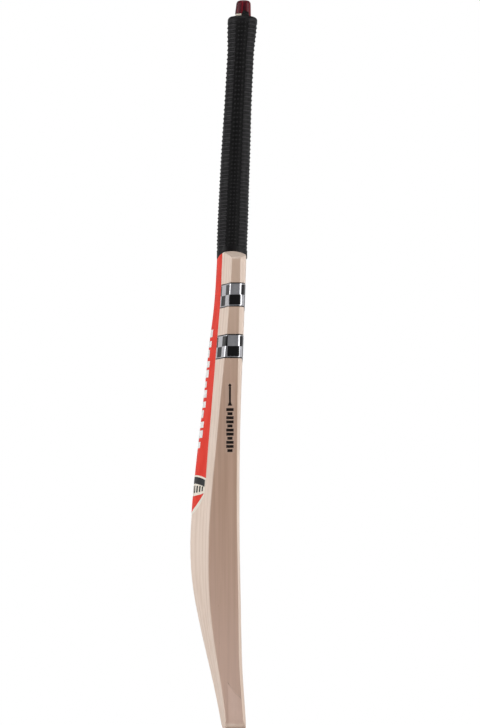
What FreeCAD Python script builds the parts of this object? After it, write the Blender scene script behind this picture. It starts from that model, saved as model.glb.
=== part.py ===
import FreeCAD, Part

import os

from FreeCAD import Vector

# A short-handle adult cricket bat standing on its toe. Lengths are in millimetres.
# +Z runs from the toe to the handle, the hitting face looks to -Y, the spine to +Y,
# and X is the width. Depths below are measured from the chord of the hitting face;
# ORIGIN_DEPTH then moves everything so that the origin is the middle of the toe.

BAT_LENGTH = 857.0
BLADE_WIDTH = 107.4
ORIGIN_DEPTH = 11.7

# Blade stations: height, hitting face, front of the edge, back of the edge, spine.
BLADE_STATIONS = [
    (-8.0, -0.3, 2.3, 22.7, 25.8),
    (20.0, 1.0, 4.3, 25.5, 31.6),
    (56.0, 3.5, 6.9, 30.8, 39.0),
    (95.0, 5.2, 8.5, 37.1, 48.1),
    (133.0, 5.9, 8.8, 41.8, 56.5),
    (168.0, 6.6, 9.4, 44.0, 62.5),
    (205.0, 7.3, 10.1, 44.3, 65.3),
    (250.0, 7.7, 10.8, 42.6, 63.8),
    (303.0, 7.6, 10.8, 38.0, 59.2),
    (363.0, 6.5, 10.3, 32.4, 52.4),
    (426.0, 4.4, 9.4, 26.3, 45.6),
    (485.0, 2.1, 8.0, 21.0, 38.6),
    (530.0, 0.4, 6.9, 17.9, 35.0),
    (556.0, -0.2, 6.9, 16.6, 33.6),
    (578.0, 1.4, 7.6, 16.2, 31.6),
]
FACE_CROWN = 0.8
# The face rounds off into the edge. The inset grows by this much for each millimetre that
# the edge lies behind the face; the middle of the arc is given as shares of inset and depth.
FACE_ROUNDING_INSET = 3.0
FACE_ROUNDING_SPREAD = 1.4
FACE_ROUNDING_MIDDLE = (0.33, 0.34)
# The crease between edge and back is rounded. Fullness says how far the middle of the
# rounding lies from the sharp corner, as a share of the distance to its chord.
CREASE_ROUNDING = 1.8
CREASE_FULLNESS = 0.55
# Rise of the back above the edge, as a share of the spine's, against the distance
# from the edge, as a share of the half width.
BACK_PROFILE = [(0.0, 0.0), (0.25, 0.225), (0.5, 0.49), (0.75, 0.79), (0.92, 0.965), (1.0, 1.0)]

TOE_CORNER_RADIUS = 11.0
SHOULDER_HEIGHT = 548.5
SHOULDER_CORNER_RADIUS = 5.0
SHOULDER_TOP = 558.7
SHOULDER_TOP_WIDTH = 35.0
# The top of the blade is arched from front to back, like a saddle for the grip.
SADDLE_TOP = 558.6
SADDLE_RISE = 6.5
SADDLE_HALF_DEPTH = 17.0

# Splice: the V-shaped cane wedge let into the top of the blade.
SPLICE_WIDTH = 30.4
SPLICE_TIP_WIDTH = 3.0
SPLICE_TIP_HEIGHT = 410.0
SPLICE_TOP = 570.0

# Handle: round, slightly bowed towards the hitting face, and laminated across its width.
HANDLE_BASE = 561.0
HANDLE_BASE_DEPTH = 16.7
HANDLE_LEAN = 0.0345
HANDLE_BOW = 0.000043
CORE_STATIONS = [
    (546.0, 15.1),
    (600.0, 15.1),
    (650.0, 14.6),
    (695.0, 14.2),
    (740.0, 13.4),
    (775.0, 13.2),
    (800.0, 13.3),
    (818.0, 14.4),
    (834.5, 14.1),
]
CORE_TOP_ROUNDING = 3.0
CANE_SLIPS_PER_QUARTER = 3
CANE_SLIP_THICKNESS = 1.8
RUBBER_THICKNESS = 1.5
TWINE_THICKNESS = 0.6
TWINE_BOTTOM = 561.0
TWINE_TOP = 829.0

# Grip: a rubber sleeve whose lower edge arches over the shoulders.
GRIP_STATIONS = [
    (540.0, 18.3),
    (590.0, 18.35),
    (618.0, 18.15),
    (650.0, 17.8),
    (680.0, 17.5),
    (710.0, 16.9),
    (740.0, 16.4),
    (775.0, 16.2),
    (800.0, 16.3),
    (817.0, 17.35),
    (828.0, 17.75),
    (838.7, 17.2),
]
GRIP_TOP_ROUNDING = 6.0
GRIP_ARCH_TOP = 557.0

KNOB_BASE_RADIUS = 10.0
KNOB_TOP_RADIUS = 8.3
KNOB_ROUNDING = 4.4

# Stickers.
LABEL_THICKNESS = 0.25
SPINE_LABEL_TOP = 560.0
SPINE_LABEL_TOP_HALF = 19.0
SPINE_LABEL_BOTTOM = 296.5
SPINE_LABEL_BOTTOM_HALF = 32.7
SHIELD_SIDE_BOTTOM = 272.0
SHIELD_TIP = 248.5
SHIELD_CROWN = 5.0
# Where the curved lower side passes, as shares of the half width and of the point's height.
SHIELD_BULGE = (0.55, 0.36)
CHECK_BAND_HEIGHT = 28.2
CHECK_BAND_CENTRES = {"lower_check_band": 444.6, "upper_check_band": 504.8}
CHECK_BAND_GAP = 0.6
EDGE_LABEL_BOTTOM = 320.0
EDGE_LABEL_TOP = 402.0
EDGE_LABEL_FRONT = 13.2
EDGE_LABEL_BACK = 24.4

# Toe guard: a film round the toe and up both edges, cut off on a slant.
GUARD_THICKNESS = 0.3
GUARD_FRONT = 3.2
GUARD_BACK = 20.2
GUARD_BACK_SLOPE = 0.026
GUARD_FRONT_SLOPE = 0.062
GUARD_FRONT_HEIGHT = 34.0
GUARD_BACK_HEIGHT = 53.0
GUARD_ZONE_BOTTOM = -1.0

HALF_WIDTH = BLADE_WIDTH / 2
REACH = 200.0
TOUCHING = 0.01


def handle_depth(height):
    rise = height - HANDLE_BASE
    return HANDLE_BASE_DEPTH - HANDLE_LEAN * rise - HANDLE_BOW * rise * rise


def circle_wire(height, radius):
    centre = Vector(0, handle_depth(height), height)
    return Part.Wire(Part.Circle(centre, Vector(0, 0, 1), radius).toShape())


def round_loft(stations, grow=0.0):
    wires = [circle_wire(height, radius + grow) for height, radius in stations]
    return Part.makeLoft(wires, True)


def round_off(solid, height, radius):
    """Fillet the edges of a solid that lie flat at one height."""
    edges = []
    for edge in solid.Edges:
        box = edge.BoundBox
        if abs(box.ZMin - height) < TOUCHING and abs(box.ZMax - height) < TOUCHING:
            edges.append(edge)
    return solid.makeFillet(radius, edges)


def arch_cylinder(top, half_depth):
    """Cylinder across the bat whose upper side is the saddle's arch, at another height."""
    radius = (half_depth ** 2 + SADDLE_RISE ** 2) / (2 * SADDLE_RISE)
    centre = Vector(-REACH, HANDLE_BASE_DEPTH, top - radius)
    return Part.makeCylinder(radius, 2 * REACH, centre, Vector(1, 0, 0))


def below_saddle():
    """Everything under the arched top of the blade."""
    cylinder = arch_cylinder(SADDLE_TOP, SADDLE_HALF_DEPTH)
    level = cylinder.BoundBox.Center.z
    body = Part.makeBox(2 * REACH, 2 * REACH, REACH + level, Vector(-REACH, -REACH, -REACH))
    return body.fuse(cylinder)


def slab(x_low, x_high, z_low=-REACH, z_high=BAT_LENGTH + REACH):
    corner = Vector(x_low, -REACH, z_low)
    return Part.makeBox(x_high - x_low, 2 * REACH, z_high - z_low, corner)


def prism_along_y(points):
    """Solid from a closed outline of (x, z) points, running through the whole depth."""
    wire = Part.makePolygon([Vector(x, -REACH, z) for x, z in points + points[:1]])
    return Part.Face(wire).extrude(Vector(0, 2 * REACH, 0))


def mirrored(point):
    return Vector(-point.x, point.y, point.z)


def back_curve(half, edge_back, spine, height):
    """The back of a section from one rounded crease over the spine to the other."""
    start = CREASE_ROUNDING / half
    lowest = (start, start * BACK_PROFILE[1][1] / BACK_PROFILE[1][0])
    left = []
    for out, rise in [lowest] + BACK_PROFILE[1:]:
        left.append(Vector(-half * (1 - out), edge_back + rise * (spine - edge_back), height))
    points = left + [mirrored(point) for point in reversed(left[:-1])]
    shares = [(point.x - left[0].x) / (-2 * left[0].x) for point in points]
    curve = Part.BSplineCurve()
    curve.interpolate(Points=points, Parameters=shares)
    return curve


def blade_section(height, face, edge_front, edge_back, spine, grow):
    half = HALF_WIDTH + grow
    face -= grow
    spine += grow
    inset = FACE_ROUNDING_INSET + FACE_ROUNDING_SPREAD * (edge_front - face)
    face_end = face + FACE_CROWN
    middle_in, middle_back = FACE_ROUNDING_MIDDLE
    back = back_curve(half, edge_back, spine, height)
    # The right-hand side, from the face round the edge to the back.
    face_side = Vector(half - inset, face_end, height)
    rounding_middle = Vector(
        half - middle_in * inset, face_end + middle_back * (edge_front - face_end), height)
    front_crease = Vector(half, edge_front, height)
    back_crease = Vector(half, edge_back, height)
    edge_end = Vector(half, edge_back - CREASE_ROUNDING, height)
    back_end = back.EndPoint
    chord_middle = (edge_end + back_end) * 0.5
    crease_middle = back_crease + (chord_middle - back_crease) * CREASE_FULLNESS
    edges = [Part.Arc(mirrored(face_side), Vector(0, face, height), face_side).toShape()]
    for side in (lambda point: point, mirrored):
        edges.append(Part.Arc(side(face_side), side(rounding_middle), side(front_crease)).toShape())
        edges.append(Part.LineSegment(side(front_crease), side(edge_end)).toShape())
        edges.append(Part.Arc(side(edge_end), side(crease_middle), side(back_end)).toShape())
    edges.append(back.toShape())
    return Part.Wire(Part.__sortEdges__(edges))


def blade_loft(grow=0.0):
    wires = [blade_section(*station, grow) for station in BLADE_STATIONS]
    return Part.makeLoft(wires, True)


def blade_outline(grow=0.0):
    """Front view of the blade: straight sides, rounded toe corners, sloping shoulders."""
    half = HALF_WIDTH + grow
    neck = SHOULDER_TOP_WIDTH / 2
    bottom = GUARD_THICKNESS - grow
    points = [
        (-half, bottom), (half, bottom),
        (half, SHOULDER_HEIGHT), (neck, SHOULDER_TOP),
        (-neck, SHOULDER_TOP), (-half, SHOULDER_HEIGHT),
    ]
    solid = prism_along_y(points)
    toe = vertical_corner_edges(solid, half, bottom)
    solid = solid.makeFillet(TOE_CORNER_RADIUS + grow, toe)
    shoulder = vertical_corner_edges(solid, half, SHOULDER_HEIGHT)
    return solid.makeFillet(SHOULDER_CORNER_RADIUS, shoulder)


def vertical_corner_edges(solid, x, z):
    """The two edges along Y that pass through (-x, z) and (x, z)."""
    found = []
    for edge in solid.Edges:
        middle = edge.BoundBox.Center
        if abs(abs(middle.x) - x) < TOUCHING and abs(middle.z - z) < TOUCHING:
            found.append(edge)
    return found


def splice_prism():
    half = SPLICE_WIDTH / 2
    tip = SPLICE_TIP_WIDTH / 2
    return prism_along_y([
        (-tip, SPLICE_TIP_HEIGHT), (tip, SPLICE_TIP_HEIGHT),
        (half, SHOULDER_TOP), (half, SPLICE_TOP),
        (-half, SPLICE_TOP), (-half, SHOULDER_TOP),
    ])


def make_handle_core(body):
    """The round handle and the wedge below it, as one shape before it is sliced."""
    shaft = round_off(round_loft(CORE_STATIONS), CORE_STATIONS[-1][0], CORE_TOP_ROUNDING)
    wedge = body.common(splice_prism())
    return shaft.fuse(wedge).removeSplitter()


def lamination_slabs():
    """Names and x ranges of the cane slips and the rubber strips, from -X to +X."""
    outward = []
    x = RUBBER_THICKNESS / 2
    for group in range(2):
        for _ in range(CANE_SLIPS_PER_QUARTER):
            outward.append(("cane", x, x + CANE_SLIP_THICKNESS))
            x += CANE_SLIP_THICKNESS
        if group == 0:
            outward.append(("rubber", x, x + RUBBER_THICKNESS))
            x += RUBBER_THICKNESS
    kind, inner, _ = outward[-1]
    outward[-1] = (kind, inner, SPLICE_WIDTH)
    left = [(kind, -high, -low) for kind, low, high in reversed(outward)]
    middle = [("rubber", -RUBBER_THICKNESS / 2, RUBBER_THICKNESS / 2)]
    return left + middle + outward


def make_laminations(core):
    parts = {}
    counts = {"cane": 0, "rubber": 0}
    rubber_names = ["left", "middle", "right"]
    for kind, low, high in lamination_slabs():
        counts[kind] += 1
        name = "cane_slip_%02d" % counts["cane"]
        if kind == "rubber":
            name = "rubber_spring_" + rubber_names[counts["rubber"] - 1]
        parts[name] = core.common(slab(low, high))
    return parts


def make_twine():
    outside = round_loft(CORE_STATIONS, TWINE_THICKNESS)
    stretch = slab(-REACH, REACH, TWINE_BOTTOM, TWINE_TOP)
    return outside.cut(round_loft(CORE_STATIONS)).common(stretch)


def make_knob():
    base = CORE_STATIONS[-1][0]
    stations = [(base, KNOB_BASE_RADIUS), (BAT_LENGTH, KNOB_TOP_RADIUS)]
    return round_off(round_loft(stations), BAT_LENGTH, KNOB_ROUNDING)


def make_grip(blade, core, twine, knob, label):
    sleeve = round_off(round_loft(GRIP_STATIONS), GRIP_STATIONS[-1][0], GRIP_TOP_ROUNDING)
    foot_radius = GRIP_STATIONS[0][1]
    sleeve = sleeve.cut(arch_cylinder(GRIP_ARCH_TOP, foot_radius))
    for inside in (core, twine, knob, blade, label):
        sleeve = sleeve.cut(inside)
    return max(sleeve.Solids, key=lambda solid: solid.Volume)


def shield_prism():
    """The pointed end of the spine sticker, with an arched top and curved lower sides."""
    half = SPINE_LABEL_BOTTOM_HALF
    top = SPINE_LABEL_BOTTOM
    left_top = Vector(-half, -REACH, top - SHIELD_CROWN)
    right_top = Vector(half, -REACH, top - SHIELD_CROWN)
    left_low = Vector(-half, -REACH, SHIELD_SIDE_BOTTOM)
    right_low = Vector(half, -REACH, SHIELD_SIDE_BOTTOM)
    tip = Vector(0, -REACH, SHIELD_TIP)
    bulge_out, bulge_up = SHIELD_BULGE
    bulge_height = SHIELD_TIP + bulge_up * (SHIELD_SIDE_BOTTOM - SHIELD_TIP)
    bulge = Vector(half * bulge_out, -REACH, bulge_height)
    edges = [
        Part.Arc(left_top, Vector(0, -REACH, top), right_top).toShape(),
        Part.LineSegment(right_top, right_low).toShape(),
        Part.Arc(right_low, bulge, tip).toShape(),
        Part.Arc(tip, mirrored(bulge), left_low).toShape(),
        Part.LineSegment(left_low, left_top).toShape(),
    ]
    return Part.Face(Part.Wire(edges)).extrude(Vector(0, 2 * REACH, 0))


def spine_prism(grow=0.0):
    """The tapering sticker down the spine, from under the grip to the shield."""
    low = SPINE_LABEL_BOTTOM_HALF + grow
    high = SPINE_LABEL_TOP_HALF + grow
    bottom = SPINE_LABEL_BOTTOM - SHIELD_CROWN
    return prism_along_y([
        (-low, bottom), (low, bottom), (high, SPINE_LABEL_TOP), (-high, SPINE_LABEL_TOP),
    ])


def back_half():
    """Everything behind the edges, where the spine stickers lie."""
    return Part.makeBox(2 * REACH, REACH, BAT_LENGTH, Vector(-REACH, HANDLE_BASE_DEPTH, 0))


def make_spine_labels(skin):
    back_skin = skin.common(back_half())
    shield = back_skin.common(shield_prism())
    stripe = back_skin.common(spine_prism()).cut(shield_prism())
    return {"spine_label": stripe, "shield_label": shield}


def make_check_band(skin, centre):
    """A band right round the blade, left open where the spine sticker runs."""
    low = centre - CHECK_BAND_HEIGHT / 2
    ring = skin.common(slab(-REACH, REACH, low, low + CHECK_BAND_HEIGHT))
    notch = spine_prism(CHECK_BAND_GAP)
    return ring.cut(notch.common(back_half()))


def make_edge_labels():
    parts = {}
    for name, side in (("edge_label_left", -1), ("edge_label_right", 1)):
        inner = min(side * HALF_WIDTH, side * (HALF_WIDTH + LABEL_THICKNESS))
        corner = Vector(inner, EDGE_LABEL_FRONT, EDGE_LABEL_BOTTOM)
        depth = EDGE_LABEL_BACK - EDGE_LABEL_FRONT
        height = EDGE_LABEL_TOP - EDGE_LABEL_BOTTOM
        parts[name] = Part.makeBox(LABEL_THICKNESS, depth, height, corner)
    return parts


def make_toe_guard():
    """A film between the blade's outline and the same outline one thickness larger."""
    film = blade_outline(GUARD_THICKNESS).cut(blade_outline())
    front_at_top = GUARD_FRONT + GUARD_FRONT_SLOPE * GUARD_FRONT_HEIGHT
    back_at_top = GUARD_BACK + GUARD_BACK_SLOPE * GUARD_BACK_HEIGHT
    side = [
        Vector(-REACH, GUARD_FRONT, GUARD_ZONE_BOTTOM),
        Vector(-REACH, GUARD_BACK, GUARD_ZONE_BOTTOM),
        Vector(-REACH, back_at_top, GUARD_BACK_HEIGHT),
        Vector(-REACH, front_at_top, GUARD_FRONT_HEIGHT),
    ]
    zone = Part.Face(Part.makePolygon(side + side[:1])).extrude(Vector(2 * REACH, 0, 0))
    return film.common(zone)


def make_parts():
    loft = blade_loft()
    saddle = below_saddle()
    skin = blade_loft(LABEL_THICKNESS).cut(loft).common(saddle)
    body = loft.common(saddle)
    core = make_handle_core(body)
    blade = body.common(blade_outline()).cut(core)
    twine = make_twine()
    knob = make_knob()
    labels = make_spine_labels(skin)
    for name, centre in CHECK_BAND_CENTRES.items():
        labels[name] = make_check_band(skin, centre)
    labels.update(make_edge_labels())
    parts = {"blade": blade, "twine_binding": twine, "handle_knob": knob}
    parts["handle_grip"] = make_grip(blade, core, twine, knob, labels["spine_label"])
    parts["toe_guard"] = make_toe_guard()
    parts.update(make_laminations(core))
    parts.update(labels)
    return parts


def main():
    os.makedirs("parts", exist_ok=True)
    for name, shape in make_parts().items():
        solid = shape.Solids[0] if len(shape.Solids) == 1 else Part.makeCompound(shape.Solids)
        solid.translate(Vector(0, -ORIGIN_DEPTH, 0))
        solid.exportStep("parts/%s.step" % name)
        print("%-22s solids %d valid %s volume %10.1f" % (
            name, len(solid.Solids), solid.isValid(), solid.Volume))


main()
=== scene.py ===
import math

import bmesh
import bpy
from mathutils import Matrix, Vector, noise
from mathutils.bvhtree import BVHTree


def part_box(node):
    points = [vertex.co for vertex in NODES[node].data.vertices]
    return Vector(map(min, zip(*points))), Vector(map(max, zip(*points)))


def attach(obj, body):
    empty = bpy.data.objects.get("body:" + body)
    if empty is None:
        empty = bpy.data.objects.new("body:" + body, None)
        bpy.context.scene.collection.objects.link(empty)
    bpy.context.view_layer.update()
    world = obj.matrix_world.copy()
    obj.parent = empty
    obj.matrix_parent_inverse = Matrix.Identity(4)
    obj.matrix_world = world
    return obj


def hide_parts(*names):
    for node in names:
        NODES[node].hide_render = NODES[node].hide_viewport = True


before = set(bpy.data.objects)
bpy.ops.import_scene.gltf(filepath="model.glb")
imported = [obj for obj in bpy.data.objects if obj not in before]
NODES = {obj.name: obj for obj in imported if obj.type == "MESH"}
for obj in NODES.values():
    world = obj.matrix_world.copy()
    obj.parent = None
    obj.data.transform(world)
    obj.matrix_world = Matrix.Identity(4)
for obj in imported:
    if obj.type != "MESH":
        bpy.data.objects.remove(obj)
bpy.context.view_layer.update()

# A cricket bat standing on its toe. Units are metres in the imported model's frame: +Z from
# the toe to the handle, the hitting face to -Y, the spine to +Y, X across the width.

MM = 0.001
BODY = "root"
SLIPS = sorted(name for name in NODES if name.startswith("cane_slip"))
SPRINGS = sorted(name for name in NODES if name.startswith("rubber_spring"))


# ---------------------------------------------------------------- materials

# Places of the colour sockets on a Mix node.
FIRST_COLOUR, SECOND_COLOUR = 6, 7
MIXED_COLOUR = 2
# Willow: growth lines per metre, how far sideways a sawn edge faces where painted shade darkens
# it, and the heights between which painted light turns the edges paler, downwards at the toe and
# upwards at the shoulder.
GROWTH_LINES = 95.0
EDGE_SHADE_FACING = (0.80, 0.985)
TOE_PAINTED_LIGHT = (0.30, 0.02)
SHOULDER_PAINTED_LIGHT = (0.36, 0.54)
TWINE_PITCH = 0.0009
# The floor's glow grows from the bat out to this far.
GLOW_REACH = 0.8


class Shader:
    """A short way to write a node material."""

    def __init__(self, name):
        self.material = bpy.data.materials.new(name)
        self.material.use_nodes = True
        self.tree = self.material.node_tree
        self.surface = self.tree.nodes["Principled BSDF"]
        self.place = self.node("ShaderNodeTexCoord").outputs["Object"]

    def node(self, kind, **settings):
        made = self.tree.nodes.new(kind)
        for key, value in settings.items():
            setattr(made, key, value)
        return made

    def join(self, value, socket):
        if isinstance(value, bpy.types.NodeSocket):
            self.tree.links.new(value, socket)
        else:
            socket.default_value = value

    def math(self, operation, first, second=0.0):
        made = self.node("ShaderNodeMath", operation=operation)
        self.join(first, made.inputs[0])
        self.join(second, made.inputs[1])
        return made.outputs[0]

    def stretched(self, scale):
        """Object coordinates, multiplied by a scale for each axis."""
        made = self.node("ShaderNodeMapping")
        made.inputs["Scale"].default_value = scale
        self.join(self.place, made.inputs["Vector"])
        return made.outputs["Vector"]

    def noise(self, scale, detail=3.0, roughness=0.55, distortion=0.0):
        made = self.node("ShaderNodeTexNoise")
        self.join(self.stretched(scale), made.inputs["Vector"])
        made.inputs["Scale"].default_value = 1.0
        made.inputs["Detail"].default_value = detail
        made.inputs["Roughness"].default_value = roughness
        made.inputs["Distortion"].default_value = distortion
        return made.outputs["Fac"]

    def cells(self, scale):
        """Distance to the nearest point of a scattered set."""
        made = self.node("ShaderNodeTexVoronoi")
        self.join(self.stretched(scale), made.inputs["Vector"])
        made.inputs["Scale"].default_value = 1.0
        return made.outputs["Distance"]

    def axis(self, index, vector=None):
        made = self.node("ShaderNodeSeparateXYZ")
        self.join(self.place if vector is None else vector, made.inputs[0])
        return made.outputs[index]

    def between(self, value, low, high, to_low=0.0, to_high=1.0):
        """A value's smooth way from low to high, as to_low to to_high."""
        made = self.node("ShaderNodeMapRange", interpolation_type="SMOOTHSTEP")
        self.join(value, made.inputs["Value"])
        for key, number in (("From Min", low), ("From Max", high),
                            ("To Min", to_low), ("To Max", to_high)):
            made.inputs[key].default_value = number
        return made.outputs["Result"]

    def mix(self, share, first, second):
        made = self.node("ShaderNodeMix", data_type="RGBA")
        self.join(share, made.inputs["Factor"])
        for value, index in ((first, FIRST_COLOUR), (second, SECOND_COLOUR)):
            if not isinstance(value, bpy.types.NodeSocket):
                value = (*value, 1.0)
            self.join(value, made.inputs[index])
        return made.outputs[MIXED_COLOUR]

    def normal(self):
        return self.node("ShaderNodeNewGeometry").outputs["Normal"]

    def colour(self, value):
        if not isinstance(value, bpy.types.NodeSocket):
            value = (*value, 1.0)
        self.join(value, self.surface.inputs["Base Color"])

    def set(self, **values):
        for key, value in values.items():
            self.join(value, self.surface.inputs[key.replace("_", " ")])

    def bump(self, height, distance, strength=1.0):
        made = self.node("ShaderNodeBump")
        made.inputs["Strength"].default_value = strength
        made.inputs["Distance"].default_value = distance
        self.join(height, made.inputs["Height"])
        self.join(made.outputs["Normal"], self.surface.inputs["Normal"])


def willow_grain(s):
    """Colour and height of straight-grained willow: growth lines, fine fibres, a few pins.
    The sawn edges are pinker wood, made darker still by painted shade, and paler again towards the
    toe and shoulder by painted light."""
    drift = s.noise((3.0, 3.0, 1.6), detail=1.5)
    across = s.math("ADD", s.axis(0), s.math("MULTIPLY", s.axis(1), 0.35))
    across = s.math("ADD", across, s.math("MULTIPLY", drift, 0.020))
    ring = s.math("FRACT", s.math("MULTIPLY", across, GROWTH_LINES))
    late_wood = s.math("MULTIPLY", s.between(ring, 0.55, 0.93), s.between(ring, 1.0, 0.955))
    strength = s.between(s.noise((90.0, 90.0, 3.0), detail=1.0), 0.3, 0.7, 0.35, 1.0)
    late_wood = s.math("MULTIPLY", late_wood, strength)
    fibre = s.noise((1500.0, 1500.0, 26.0), detail=4.0, roughness=0.6)
    streak = s.noise((260.0, 260.0, 5.0), detail=3.0, distortion=0.2)
    cloud = s.noise((26.0, 26.0, 5.5), detail=2.0)
    pale = s.mix(s.between(streak, 0.3, 0.72), (0.80, 0.655, 0.555), (0.72, 0.57, 0.465))
    pale = s.mix(s.between(cloud, 0.35, 0.75, 0.0, 0.35), pale, (0.83, 0.70, 0.61))
    pale = s.mix(s.math("MULTIPLY", late_wood, 0.36), pale, (0.50, 0.335, 0.235))
    # Painted shade: surfaces facing sideways, the sawn edges, get a darker colour besides their
    # pinker wood.
    side = s.math("ABSOLUTE", s.axis(0, s.normal()))
    edge = s.mix(s.between(streak, 0.25, 0.75), (0.545, 0.362, 0.268), (0.455, 0.295, 0.212))
    edge = s.mix(s.between(cloud, 0.4, 0.8, 0.0, 0.5), edge, (0.585, 0.405, 0.33))
    # Painted light: the edges turn paler towards the toe and towards the shoulder.
    toe_painted_light = s.between(s.axis(2), *TOE_PAINTED_LIGHT, 0.0, 0.42)
    shoulder_painted_light = s.between(s.axis(2), *SHOULDER_PAINTED_LIGHT, 0.0, 0.45)
    edge = s.mix(toe_painted_light, edge, (0.74, 0.545, 0.47))
    edge = s.mix(shoulder_painted_light, edge, (0.76, 0.60, 0.48))
    wood = s.mix(s.between(side, *EDGE_SHADE_FACING), pale, edge)
    wood = s.mix(s.between(fibre, 0.52, 0.78, 0.0, 0.30), wood, (0.45, 0.30, 0.21))
    pins = s.between(s.cells((210.0, 210.0, 34.0)), 0.09, 0.03)
    rare = s.between(s.noise((40.0, 40.0, 12.0), detail=0.0), 0.60, 0.66)
    wood = s.mix(s.math("MULTIPLY", s.math("MULTIPLY", pins, rare), 0.7), wood, (0.28, 0.16, 0.10))
    height = s.math("ADD", s.math("MULTIPLY", fibre, 0.5), s.math("MULTIPLY", late_wood, 0.6))
    return wood, streak, height


def willow():
    """Sanded, unvarnished blade wood."""
    s = Shader("willow")
    wood, streak, height = willow_grain(s)
    s.colour(wood)
    s.set(Roughness=s.between(streak, 0.2, 0.8, 0.44, 0.58), Specular_IOR_Level=0.35)
    s.bump(height, 0.00012, 0.5)
    return s.material


def filmed_willow(name, haze, tint, roughness):
    """Clear film on willow: the grain shows through a faint haze."""
    s = Shader(name)
    # The willow colour carries its painted shade on the edges and its painted light at the toe and
    # shoulder.
    wood, streak, _ = willow_grain(s)
    cloud = s.noise((150.0, 150.0, 60.0), detail=3.0)
    s.colour(s.mix(s.between(cloud, 0.3, 0.75, 0.7 * haze, 1.3 * haze), wood, tint))
    s.set(Roughness=s.between(streak, 0.2, 0.8, roughness, roughness + 0.1),
          Specular_IOR_Level=0.4)
    s.bump(s.noise((900.0, 900.0, 900.0), detail=1.0), 0.00003, 0.5)
    return s.material


def cane(name, tone):
    """Split cane: straw-coloured, with dark flecks where the vessels show."""
    s = Shader(name)
    fibre = s.noise((1800.0, 1800.0, 20.0), detail=3.0)
    broad = s.noise((160.0, 160.0, 7.0), detail=2.0)
    light = tuple(channel * tone for channel in (0.66, 0.50, 0.30))
    dark = tuple(channel * tone for channel in (0.47, 0.32, 0.16))
    wood = s.mix(s.between(broad, 0.3, 0.7), light, dark)
    flecks = s.between(s.cells((1100.0, 1100.0, 60.0)), 0.30, 0.10)
    wood = s.mix(s.math("MULTIPLY", flecks, 0.55), wood, (0.16, 0.09, 0.04))
    s.colour(wood)
    s.set(Roughness=s.between(fibre, 0.2, 0.8, 0.5, 0.7))
    s.bump(fibre, 0.0001, 0.5)
    return s.material


def sheet_rubber():
    """Dark rubber strips between the cane slips."""
    s = Shader("spring_rubber")
    grain = s.noise((900.0, 900.0, 900.0), detail=3.0)
    s.colour(s.mix(s.between(grain, 0.35, 0.7), (0.018, 0.015, 0.013), (0.045, 0.038, 0.032)))
    s.set(Roughness=0.75)
    s.bump(grain, 0.00008, 0.6)
    return s.material


def twine():
    """Waxed twine; its turns are in the bump."""
    s = Shader("twine")
    fibre = s.noise((2500.0, 2500.0, 400.0), detail=4.0)
    s.colour(s.mix(s.between(fibre, 0.3, 0.7), (0.70, 0.62, 0.46), (0.46, 0.38, 0.25)))
    s.set(Roughness=0.8)
    turn = s.math("SINE", s.math("MULTIPLY", s.axis(2), 2 * math.pi / TWINE_PITCH))
    s.bump(turn, 0.0002, 0.8)
    return s.material


def grip_rubber():
    """Black rubber, rubbed grey and given a painted highlight on the raised ribs and pips, with
    painted shade in the grooves.
    """
    s = Shader("grip_rubber")
    relief = s.node("ShaderNodeAttribute", attribute_name="relief").outputs["Fac"]
    speckle = s.noise((1400.0, 1400.0, 1400.0), detail=3.0)
    patch = s.noise((170.0, 170.0, 110.0), detail=2.0)
    # Partly real wear and partly painted highlight: the raised tread turns grey in patches.
    worn_and_highlight = s.math("MULTIPLY", s.between(relief, 0.62, 1.0),
                  s.between(patch, 0.38, 0.62, 0.15, 1.0))
    black = s.mix(s.between(speckle, 0.35, 0.75),
                  (0.0020, 0.0018, 0.0021), (0.0048, 0.0043, 0.0050))
    # Painted highlight: the tips of the ribs and pips are made lighter.
    black = s.mix(s.between(relief, 0.85, 1.0, 0.0, 0.5), black, (0.030, 0.028, 0.031))
    # Painted shade: the grooves and other low places are made darker.
    black = s.mix(s.between(relief, 0.45, 0.12), black, (0.0012, 0.0011, 0.0012))
    s.colour(s.mix(worn_and_highlight, black, (0.020, 0.018, 0.020)))
    s.set(Roughness=s.between(patch, 0.3, 0.7, 0.40, 0.60), Specular_IOR_Level=0.20)
    s.bump(speckle, 0.00006, 0.7)
    return s.material


def lacquer():
    """Maroon lacquer on the turned end, with painted highlight streaks, over a pale undipped foot.
    """
    s = Shader("maroon_lacquer")
    coat = s.node("ShaderNodeAttribute", attribute_name="coat").outputs["Fac"]
    tone = s.node("ShaderNodeAttribute", attribute_name="tone").outputs["Fac"]
    streak = s.noise((520.0, 520.0, 26.0), detail=2.0, distortion=0.5)
    spots = s.noise((800.0, 800.0, 600.0), detail=2.0)
    # Painted highlights: lighter red streaks running up the lacquer.
    red = s.mix(s.between(streak, 0.36, 0.68), (0.030, 0.0035, 0.008), (0.115, 0.007, 0.015))
    # Painted highlight: the tone attribute brightens the red in the listed directions round the
    # end.
    red = s.mix(tone, red, (0.26, 0.010, 0.018))
    red = s.mix(s.between(spots, 0.55, 0.72, 0.0, 0.4), red, (0.016, 0.003, 0.006))
    s.colour(s.mix(coat, (0.82, 0.74, 0.62), red))
    s.set(Roughness=s.between(spots, 0.3, 0.7, 0.30, 0.44), Specular_IOR_Level=0.14)
    s.set(Coat_Weight=s.between(coat, 0.4, 0.6, 0.0, 0.06), Coat_Roughness=0.12)
    s.bump(streak, 0.0003, 0.5)
    return s.material


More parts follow.
